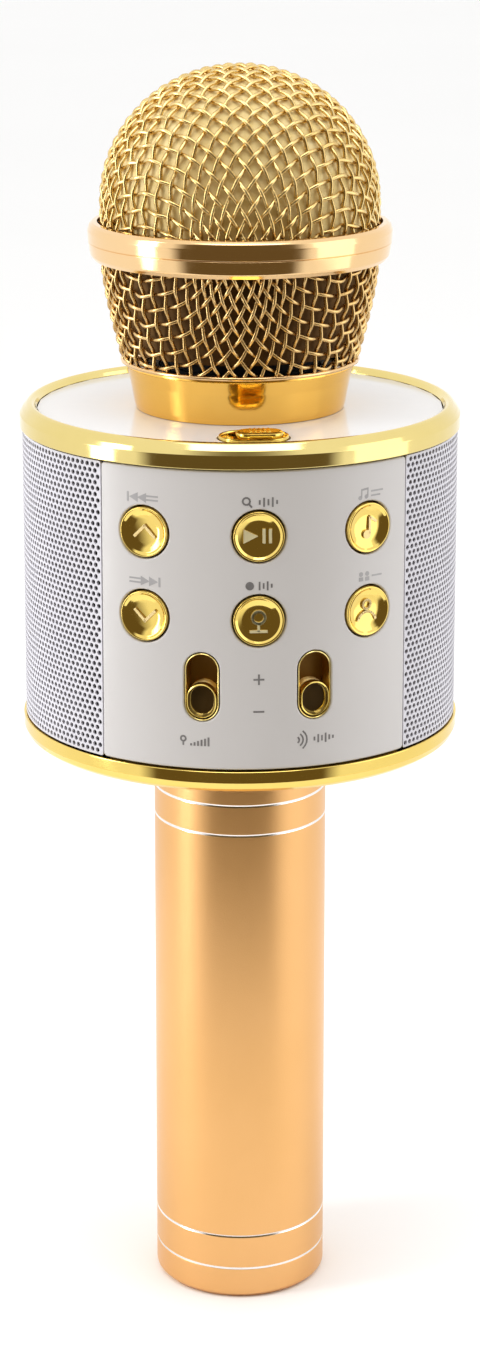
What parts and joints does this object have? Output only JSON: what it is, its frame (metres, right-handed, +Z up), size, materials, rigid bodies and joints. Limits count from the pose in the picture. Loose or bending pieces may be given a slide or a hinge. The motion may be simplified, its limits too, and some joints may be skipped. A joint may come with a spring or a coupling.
{
  "type": "karaoke microphone",
  "caption": "Handheld karaoke microphone: a woven gold mesh head on a white loudspeaker drum with buttons and sliders, over a gold tube handle.",
  "frame": {"origin": "middle of the handle's flat end, on the surface that the microphone stands on", "axes": "+Z up the handle to the mesh head, -Y towards the control panel, +X to the panel's right as seen from the front"},
  "size_m": [0.0808, 0.0808, 0.2326],
  "materials": {
    "woven_mesh_gold": "woven wire, satin gold plated",
    "ring_gold": "polished champagne gold plate",
    "collar_gold": "satin orange-gold plated plastic",
    "plated_gold": "polished yellow-gold plated plastic",
    "handle_gold": "fine-blasted champagne-gold anodised",
    "white_gloss": "glossy white moulding",
    "white_perforated": "white painted perforated sheet",
    "foam": "open-cell foam, khaki gold",
    "rubber": "matt black",
    "black_plastic": "fine matt black moulding",
    "circuit_board": "green solder mask",
    "steel": "bright plated steel",
    "magnet": "ferrite with a dark coat",
    "paper_cone": "treated paper, black",
    "cell_wrap": "shrink-wrapped lithium cell"
  },
  "bodies": {
    "drum": {"top_rim": "plated_gold", "bottom_rim": "plated_gold", "power_bezel": "plated_gold", "slot_bezel_mic": "plated_gold", "slot_bezel_remix": "plated_gold", "handle_tube": "handle_gold", "end_cap": "handle_gold", "front_panel": "white_gloss", "rear_panel": "white_gloss", "top_plate": "white_gloss", "speaker_grille_left": "white_perforated", "speaker_grille_right": "white_perforated", "capsule_cup": "rubber", "neck_boss": "black_plastic", "power_switch": "black_plastic", "inner_frame": "black_plastic", "bottom_plate": "black_plastic", "baffle_left": "black_plastic", "baffle_right": "black_plastic", "slide_pot_mic": "black_plastic", "slide_pot_remix": "black_plastic", "card_slot": "black_plastic", "aux_jack": "black_plastic", "handle_socket": "black_plastic", "battery_tray": "black_plastic", "tact_switch_prev": "black_plastic", "tact_switch_next": "black_plastic", "tact_switch_play": "black_plastic", "tact_switch_record": "black_plastic", "tact_switch_upper_right": "black_plastic", "tact_switch_lower_right": "black_plastic", "main_board": "circuit_board", "switch_board": "circuit_board", "mic_capsule": "steel", "speaker_frame_left": "steel", "speaker_frame_right": "steel", "charge_port": "steel", "base_screw_left": "steel", "base_screw_right": "steel", "battery_spring": "steel", "speaker_magnet_left": "magnet", "speaker_magnet_right": "magnet", "speaker_cone_left": "paper_cone", "speaker_cone_right": "paper_cone", "battery_cell": "cell_wrap"},
    "thread_ring": {"collar_thread_ring": "black_plastic"},
    "grille_head": {"grille_dome": "woven_mesh_gold", "grille_ring": "ring_gold", "grille_basket": "woven_mesh_gold", "grille_collar": "collar_gold", "foam_liner": "foam"},
    "key_prev": {"button_prev": "plated_gold"},
    "key_next": {"button_next": "plated_gold"},
    "key_play": {"button_play": "plated_gold"},
    "key_record": {"button_record": "plated_gold"},
    "key_upper_right": {"button_upper_right": "plated_gold"},
    "key_lower_right": {"button_lower_right": "plated_gold"},
    "slider_mic": {"slider_knob_mic": "plated_gold"},
    "slider_remix": {"slider_knob_remix": "plated_gold"},
    "power_slider": {"power_knob": "plated_gold"}
  },
  "joints": [
    {"name": "grille_unscrew", "type": "hinge", "parent": "drum", "child": "thread_ring", "pos_m": [0, 0, 0.1741], "axis": [0, 0, 1], "range_deg": [0, 1080]},
    {"name": "grille_rise", "type": "slide", "parent": "thread_ring", "child": "grille_head", "axis": [0, 0, 1], "range_m": [0, 0.0061]},
    {"name": "button_prev_press", "type": "slide", "parent": "drum", "child": "key_prev", "axis": [0.4909, 0.8712, 0], "range_m": [0, 0.0005], "stiffness_N_per_m": 400},
    {"name": "button_next_press", "type": "slide", "parent": "drum", "child": "key_next", "axis": [0.4909, 0.8712, 0], "range_m": [0, 0.0005], "stiffness_N_per_m": 400},
    {"name": "button_play_press", "type": "slide", "parent": "drum", "child": "key_play", "axis": [0, 1, 0], "range_m": [0, 0.0005], "stiffness_N_per_m": 400},
    {"name": "button_record_press", "type": "slide", "parent": "drum", "child": "key_record", "axis": [0, 1, 0], "range_m": [0, 0.0005], "stiffness_N_per_m": 400},
    {"name": "button_upper_right_press", "type": "slide", "parent": "drum", "child": "key_upper_right", "axis": [-0.4909, 0.8712, 0], "range_m": [0, 0.0005], "stiffness_N_per_m": 400},
    {"name": "button_lower_right_press", "type": "slide", "parent": "drum", "child": "key_lower_right", "axis": [-0.4909, 0.8712, 0], "range_m": [0, 0.0005], "stiffness_N_per_m": 400},
    {"name": "slider_mic_slide", "type": "slide", "parent": "drum", "child": "slider_mic", "axis": [0, 0, 1], "range_m": [0, 0.0049]},
    {"name": "slider_remix_slide", "type": "slide", "parent": "drum", "child": "slider_remix", "axis": [0, 0, 1], "range_m": [0, 0.0049]},
    {"name": "power_slide", "type": "slide", "parent": "drum", "child": "power_slider", "axis": [-1, 0, 0], "range_m": [0, 0.002]}
  ],
  "couplings": [
    {"joint": "grille_rise", "follows": "grille_unscrew", "m_per_rad": 0.00031831}
  ]
}
